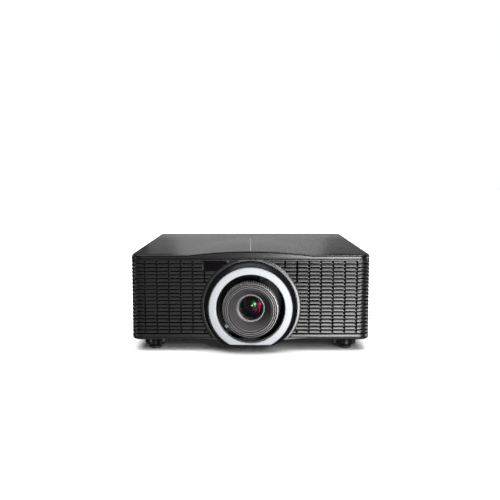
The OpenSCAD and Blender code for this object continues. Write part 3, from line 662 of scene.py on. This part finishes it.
def lid_hump(bm, front):
    """Half-ellipse rings that shrink towards the middle of the hump's front edge; returns the outermost."""
    arcs = len(front) - 1
    rings = 26
    start_y = front[0].co.y
    length = HUMP_LENGTH - (start_y - FRONT_Y)

    def ring_point(rho, j):
        a = math.pi * j / arcs
        return (HUMP_HALF_W * rho * math.cos(a), start_y + length * rho * math.sin(a),
                TOP_Z + HUMP_H * (1 - rho * rho))

    rows = [[bm.verts.new(ring_point(i / rings, j)) for j in range(arcs + 1)] for i in range(1, rings)]
    foot = [front[0]] + [bm.verts.new(ring_point(1, j)) for j in range(1, arcs)] + [front[-1]]
    rows.append(foot)
    for a, b in zip(rows, rows[1:]):
        for j in range(arcs):
            bm.faces.new((a[j], b[j], b[j + 1], a[j + 1]))
    centre = bm.verts.new((0, start_y, TOP_Z + HUMP_H))
    for j in range(arcs):
        bm.faces.new((centre, rows[0][j], rows[0][j + 1]))
    # the rings' ends join the lid's front edge
    half = arcs // 2
    join_front(bm, front[:half + 1], [row[0] for row in reversed(rows)] + [centre])
    join_front(bm, front[half:], [centre] + [row[-1] for row in rows])
    return foot


def join_front(bm, edge, ends):
    """Fills the thin strip between the lid's front edge and the ends of the hump's rings with triangles."""
    origin = edge[0].co.x
    i, j = 0, 0
    while i < len(edge) - 1 or j < len(ends) - 1:
        take_edge = j == len(ends) - 1
        if i < len(edge) - 1 and not take_edge:
            take_edge = abs(edge[i + 1].co.x - origin) <= abs(ends[j + 1].co.x - origin)
        if take_edge:
            corners = [edge[i], edge[i + 1], ends[j]]
            i += 1
        else:
            corners = [edge[i], ends[j + 1], ends[j]]
            j += 1
        if len(set(corners)) == 3:
            bm.faces.new(corners)


def lid_axis_line():
    """Fine inlaid line over the lens axis."""
    bm = bmesh.new()
    half = 0.5 * MM
    steps = 60
    loops = []
    for i in range(steps + 1):
        y = FRONT_Y + 4 * MM + INLAY_LENGTH * i / steps
        z = TOP_Z + hump_at(0, y)
        low, high = z - 0.3 * MM, z + INLAY_LIFT
        loops.append([(-half, y, low), (half, y, low), (half, y, high), (-half, y, high)])
    loft(bm, loops)
    add_piece("lens_axis_line", bm, "inlay", "cabinet")


# ---------- lens surround ----------
def lens_collar():
    """Glossy cone between the flange and the trim ring, with a flat foot under the ring's flat."""
    bm = bmesh.new()
    y0, y1 = RING_Y, FRONT_Y
    deep = RING_IN_R + 3 * MM
    seat = RING_R + 0.3 * MM
    lathe(bm, [(deep, y1 - 4 * MM), (seat, y1 - 4 * MM), (seat, y0 + 0.5 * MM),
               (seat + 0.3 * MM, y0 + 0.1 * MM), (seat + 0.9 * MM, y0), (seat + 1.6 * MM, y0 + 0.5 * MM),
               (COLLAR_R - 0.8 * MM, y1 - 2.4 * MM), (COLLAR_R - 0.1 * MM, y1 - 1 * MM), (COLLAR_R, y1),
               (deep, y1)], 240)
    flat_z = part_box("lens_collar")[0].z
    cut(bm, (0, 0, flat_z), (0, 0, -1))
    half = 40 * MM
    rounded_box(bm, (-half, y0, flat_z), (half, y1, RING_FLAT_Z - 0.3 * MM), 0.3 * MM)
    add_piece("collar", bm, "gloss", "cabinet", ["lens_collar"], bevel=0.35 * MM)


def trim_ring():
    """Silver ring with rounded front edges and a flat bottom."""
    outer_round, inner_round = 2 * MM, 1.4 * MM
    y0, y1 = RING_Y, RING_HIGH.y
    profile = arc(RING_R - outer_round, y0 + 3.4 * MM, outer_round, 0, -84, 6)
    profile += arc(RING_IN_R + inner_round, y0 + inner_round, inner_round, -90, -180, 6)
    profile += [(RING_IN_R, y1), (RING_R, y1)]
    bm = bmesh.new()
    lathe(bm, profile, 256)
    cut(bm, (0, 0, RING_FLAT_Z), (0, 0, -1))
    add_piece("trim_ring", bm, "silver", "cabinet", ["lens_trim_ring"], bevel=0.5 * MM)


# ---------- lens ----------
def knurled(bm, r_low, r_high, y0, y1):
    """Ring with ribs along the lens axis and chamfered ends."""
    # how far out each of the points along one rib lies
    rib = [0, 0, 0, 0.85, 1, 0.85, 0, 0]
    count = GRIP_RIBS * len(rib)
    chamfer = 0.8 * MM
    angles = [2 * math.pi * (i + 0.5) / count for i in range(count)]

    def bore(y):
        return [about_axis(GRIP_BORE_R, y, a) for a in angles]

    def ribs(y, drop):
        radii = [r_low + (r_high - r_low) * share - drop for share in rib]
        return [about_axis(radii[i % len(rib)], y, a) for i, a in enumerate(angles)]

    loft(bm, [bore(y0), ribs(y0, chamfer), ribs(y0 + chamfer, 0), ribs(y1 - chamfer, 0), ribs(y1, chamfer),
              bore(y1), bore(y0)], caps=False)


def lens_rings():
    """The focus and zoom rings."""
    bm = bmesh.new()
    knurled(bm, GRIP_R - 6 * MM, GRIP_R, FOCUS_LOW.y, FOCUS_HIGH.y)
    # painted highlight: the grip's light grey stands in for the shine on its ribs
    add_piece("focus_grip", bm, "grip", "focus_ring", ["focus_ring"])
    zoom_low, zoom_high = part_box("zoom_ring")
    bm = bmesh.new()
    knurled(bm, 50.5 * MM, 52.5 * MM, zoom_low.y, zoom_high.y)
    add_piece("zoom_grip", bm, "lens black", "zoom_ring", ["zoom_ring"])


def focus_lever():
    """Small finger lever on the focus ring, low on the left, with two pale index marks."""
    turn = Matrix.Translation((0, 0, AXIS_Z)) @ Matrix.Rotation(math.radians(-215), 4, "Y")
    y = FOCUS_LOW.y + 5 * MM
    bm = bmesh.new()
    rounded_box(bm, (GRIP_R - 1 * MM, y, -4 * MM), (GRIP_R + 5.5 * MM, y + 11 * MM, 4 * MM), 0.8 * MM)
    bm.transform(turn)
    add_piece("focus_lever", bm, "lens black", "focus_ring")
    bm = bmesh.new()
    for z in (-2.4 * MM, 1.0 * MM):
        rounded_box(bm, (GRIP_R + 0.4 * MM, y - 0.2 * MM, z), (GRIP_R + 4.4 * MM, y + 0.3 * MM, z + 1.3 * MM),
                    0.1 * MM)
    bm.transform(turn)
    add_piece("focus_lever_marks", bm, "mark", "focus_ring")


def front_cell():
    """Turned cell: grooved face, cone down to the glass and the bore that holds it."""
    y = LENS_FRONT_Y
    bore = GLASS_R + 0.3 * MM
    profile = [(LENS_R, y + 4.5 * MM), (LENS_R, y + 0.9 * MM), (LENS_R - 0.3 * MM, y + 0.2 * MM)]
    # concentric V-grooves across the front face, from the rim inwards
    r = LENS_R - 0.8 * MM
    while r > 45 * MM:
        profile += [(r, y), (r - 1.2 * MM, y), (r - 2.4 * MM, y + 3.2 * MM)]
        r -= 3.6 * MM
    # the cone
    profile += [(41.8 * MM, y), (41.2 * MM, y + 0.4 * MM), (28.6 * MM, y + 24.4 * MM)]
    # the seat of the retaining ring, the glass's bore and the outside
    profile += [(28.5 * MM, y + 27 * MM), (bore, y + 27 * MM), (bore, y + 39 * MM), (22 * MM, y + 39 * MM),
                (22 * MM, y + 42 * MM), (44 * MM, y + 42 * MM), (44 * MM, y + 4.5 * MM)]
    bm = bmesh.new()
    lathe(bm, profile, 192)
    add_piece("front_cell_turned", bm, "lens grey", "front_cell", ["front_cell"], angle=25)


def retaining_ring():
    """Thin metal ring that holds the front glass, with a sloping inner face."""
    low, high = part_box("retaining_ring")
    y0, y1 = low.y, high.y
    bore = GLASS_R - 0.8 * MM
    bm = bmesh.new()
    lathe(bm, [(28.2 * MM, y1), (28.2 * MM, y0 + 0.4 * MM), (27.8 * MM, y0), (26.6 * MM, y0),
               (25.6 * MM, y0 + 0.9 * MM), (bore, y0 + 1.5 * MM), (bore, y1)], 160)
    add_piece("retaining_ring_turned", bm, "ring metal", "front_cell", ["retaining_ring"])


def dome(name, radius, y_edge, bulge, thick, material, body, replaces=()):
    """Lens element: a cap that bulges towards the front, and a flat back."""
    steps = 18
    profile = [(0, y_edge - bulge)]
    for i in range(1, steps + 1):
        r = radius * i / steps
        profile.append((r, y_edge - bulge * (1 - (r / radius) ** 2)))
    profile += [(radius, y_edge + thick), (0, y_edge + thick)]
    bm = bmesh.new()
    disc_lathe(bm, profile)
    add_piece(name, bm, material, body, replaces)


def lens_glass():
    """The front glass, and coated elements deeper in the lens that are seen through it."""
    low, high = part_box("front_lens")
    back = high.y
    dome("front_element", GLASS_R - 0.2 * MM, low.y + 3.5 * MM, 3.4 * MM, 7 * MM, "glass", "front_cell",
         ["front_lens"])
    dome("second_element", 20 * MM, back + 16 * MM, 5.4 * MM, 3 * MM, "green coat", "lens")
    dome("third_element", 7 * MM, back + 10 * MM, 1.7 * MM, 1 * MM, "warm coat", "lens")


# ---------- feet ----------
def foot_wheel(node):
    """Fluted hand wheel with a conical underside, and the threaded stud above it."""
    low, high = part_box(node)
    cx, cy = (low.x + high.x) / 2, (low.y + high.y) / 2
    flutes, per_flute = 10, 12
    count = flutes * per_flute
    top = high.z - 21 * MM
    # height, radius and flute depth, the last two in millimetres
    layers = [(low.z, 12.6, 0), (low.z + 0.4 * MM, 13.1, 0), (10 * MM, 18.2, 0.6), (10.2 * MM, 20.6, 2.2),
              (11.2 * MM, 21.8, 3.2), (top - 1.4 * MM, 21.8, 3.2), (top - 0.4 * MM, 21.2, 3.0),
              (top, 20.0, 2.4)]
    loops = []
    for z, radius, depth in layers:
        loop = []
        for i in range(count):
            a = 2 * math.pi * i / count
            r = (radius - depth * max(0.0, math.cos(flutes * a)) ** 1.5) * MM
            loop.append((cx + r * math.cos(a), cy + r * math.sin(a), z))
        loops.append(loop)
    bm = bmesh.new()
    loft(bm, loops)
    add_piece(f"{node}_grip", bm, "wheel", node, [node], angle=40)
    bm = bmesh.new()
    turned_z(bm, cx, cy, [(6.5, top), (6.5, top + 1.2 * MM), (4.2, top + 1.6 * MM), (4.0, high.z)])
    add_piece(f"{node}_stud", bm, "bright", node)


def turned_z(bm, cx, cy, profile, segments=48):
    """Turned solid about an upright axis; the profile's radii are in millimetres."""
    angles = [2 * math.pi * i / segments for i in range(segments)]
    loops = []
    for r, z in profile:
        loops.append([(cx + r * MM * math.cos(a), cy + r * MM * math.sin(a), z) for a in angles])
    loft(bm, loops)


def foot_pad(node):
    """Round rubber pad with a soft edge and a neck."""
    low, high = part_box(node)
    cx, cy = (low.x + high.x) / 2, (low.y + high.y) / 2
    bm = bmesh.new()
    turned_z(bm, cx, cy, [(11.0, 0.0), (11.7, 0.3 * MM), (12.0, 1.0 * MM), (12.0, 3.8 * MM), (11.6, 4.4 * MM),
                          (11.0, 4.6 * MM), (5.0, 4.6 * MM), (5.0, high.z)])
    add_piece(f"{node}_rubber", bm, "rubber", node, [node])


# ---------- rear ----------
def rocker_well():
    """Open-fronted body of the mains switch, behind the rocker's opening."""
    low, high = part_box("power_rocker")
    back, front = low.y - 12 * MM, REAR_Y - 6.8 * MM
    room = 2.5 * MM
    x0, x1 = low.x - room, high.x + room
    z0, z1 = low.z - room, high.z + room
    wall = 1.2 * MM
    bm = bmesh.new()
    rounded_box(bm, (x0, back, z0), (x1, back + wall, z1), 0.3 * MM)
    for x in (x0, x1 - wall):
        rounded_box(bm, (x, back, z0), (x + wall, front, z1), 0.3 * MM)
    for z in (z0, z1 - wall):
        rounded_box(bm, (x0, back, z), (x1, front, z + wall), 0.3 * MM)
    add_piece("rocker_switch_body", bm, "inlet", "cabinet")


# ---------- looks of the CAD pieces ----------
CAD_LOOKS = {
    "cabinet": ["rear_panel"],
    "base": ["base_tray"],
    # painted shade: these parts inside the cabinet are coloured near black
    "cast": ["lens_mount_frame", "lens_lock_lever", "engine_housing", "laser_bank"],
    "dark metal": ["vertical_carriage", "horizontal_carriage", "vertical_shift_motor",
                   "horizontal_shift_motor", "wheel_motors"],
    "lens black": ["lens_barrel", "zoom_group"],
    "glass": ["prism_block", "light_rod"],
    "board": ["imaging_chip", "main_board"],
    "heat sink": ["chip_heat_sink", "laser_heat_sink"],
    "disc": ["colour_wheel", "phosphor_wheel"],
    "fan": ["fan_frames", "front_right_fan", "rear_right_fan", "left_fan"],
    # painted shade: the power supply is coloured near black
    "steel": ["power_supply"],
    "inlet": ["mains_inlet", "power_rocker"],
    "socket": ["rear_sockets"],
    "pipe": ["status_lights"],
    "screw": ["cover_screws"],
    "key": [f"key_{word}" for word in KEYS],
}


def dress_cad_nodes():
    """Gives a material to every CAD node that no finer piece replaces."""
    for look, nodes in CAD_LOOKS.items():
        for node in nodes:
            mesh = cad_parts[node].data
            mesh.materials.clear()
            mesh.materials.append(MATERIALS[look].material)


# ---------- studio ----------
def place_light(name, data, place, target):
    """Adds a light that shines from a place towards a target."""
    light = bpy.data.objects.new(name, data)
    light.location = place
    light.rotation_euler = (Vector(target) - Vector(place)).to_track_quat("-Z", "Y").to_euler()
    bpy.context.scene.collection.objects.link(light)
    return light


def softbox(name, place, target, width, height, power, colour=(1, 1, 1)):
    data = bpy.data.lights.new(name, "AREA")
    data.shape = "RECTANGLE"
    data.size = width
    data.size_y = height
    data.energy = power
    data.color = colour
    place_light(name, data, place, target).visible_camera = False


def snoot(name, place, target, radius, power):
    """Narrow spot that lights only a disc of the given radius about its target."""
    data = bpy.data.lights.new(name, "SPOT")
    data.energy = power
    data.spot_size = 2 * math.atan(radius / (Vector(target) - Vector(place)).length)
    data.spot_blend = 0.15
    data.shadow_soft_size = 0.008
    place_light(name, data, place, target)


def studio_world():
    """White for the camera, nearly black for everything else."""
    world = bpy.data.worlds.new("studio")
    bpy.context.scene.world = world
    world.use_nodes = True
    nodes, links = world.node_tree.nodes, world.node_tree.links
    background = nodes["Background"]
    background.inputs["Color"].default_value = (1, 1, 1, 1)
    path = nodes.new("ShaderNodeLightPath")
    strength = nodes.new("ShaderNodeMapRange")
    strength.inputs["To Min"].default_value = 0.04
    strength.inputs["To Max"].default_value = 1.0
    links.new(path.outputs["Is Camera Ray"], strength.inputs["Value"])
    links.new(strength.outputs["Result"], background.inputs["Strength"])


def overhead_light():
    """Very wide soft light from above, tipped a little towards the front."""
    sun = bpy.data.lights.new("overhead", "SUN")
    sun.energy = 5.5
    sun.angle = math.radians(75)
    overhead = bpy.data.objects.new("overhead", sun)
    overhead.rotation_euler = (math.radians(8), 0, 0)
    bpy.context.scene.collection.objects.link(overhead)


def studio_lights():
    """Softboxes; the black front is seen by mirroring the low ones, which stand below floor level."""
    overhead_light()
    softbox("key", (0.495, -1.75, -0.17), (0.1, -0.25, 0.1), 0.61, 0.6, 25)
    softbox("left fill", (-0.35, -1.75, -0.17), (-0.1, -0.25, 0.1), 0.7, 0.6, 0.4)
    softbox("left strip", (-2.0, -0.75, -0.26), (0, -0.2, 0.1), 0.6, 0.5, 2.5, (0.88, 0.94, 1))
    softbox("right strip", (2.0, 0.25, -0.3), (0, 0, 0.1), 1.1, 0.6, 10)
    softbox("high right", (0.95, -1.75, 1.1), (0.1, -0.25, 0.1), 0.7, 0.5, 13)
    softbox("lens spark", (0.7, -1.8, 0.63), (0, -0.25, 0.1), 0.14, 0.14, 6)
    snoot("lens_snoot", (0.9, -1.9, 0.12), (0, LENS_FRONT_Y, AXIS_Z), 49 * MM, 260)
    softbox("back", (0.05, 2.2, 0.25), (0, 0, 0.2), 1.3, 0.26, 0.7)
    softbox("back high", (0, 2.2, 0.62), (0, 0, 0.2), 0.9, 0.3, 0.55)
    softbox("rear low", (-0.5, 2.0, -0.4), (0, 0.25, 0.1), 1.2, 0.5, 14)
    softbox("rear high", (-1.3, 1.9, 1.6), (0, 0.2, 0.1), 0.9, 0.9, 20)


def studio_floor():
    """White floor that takes shadows but is left out of reflections and indirect light."""
    half = 12.0
    bm = bmesh.new()
    corners = [(-half, -half, 0), (half, -half, 0), (half, half, 0), (-half, half, 0)]
    bm.faces.new([bm.verts.new(c) for c in corners])
    mesh = bpy.data.meshes.new("floor")
    bm.to_mesh(mesh)
    bm.free()
    paper = surface("floor paper", (0.9, 0.9, 0.9), 0.9, grain=40, depth=0.0, vary=0.004)
    mesh.materials.append(paper.material)
    floor = bpy.data.objects.new("floor", mesh)
    bpy.context.scene.collection.objects.link(floor)
    floor.visible_diffuse = False
    floor.visible_glossy = False
    floor.visible_shadow = False


dress_cad_nodes()
for side in (-1, 1):
    front_louvre(side)
for side in (-1, 1):
    side_louvre(side)
front_fascia()
lens_flange()
sensor_window()
top_cover()
lid_axis_line()
lens_collar()
trim_ring()
lens_rings()
focus_lever()
front_cell()
retaining_ring()
lens_glass()
for corner in FEET:
    foot_wheel(f"{corner}_wheel")
    foot_pad(f"{corner}_pad")
rocker_well()
studio_world()
studio_lights()
studio_floor()
bpy.context.scene.view_settings.view_transform = "Standard"
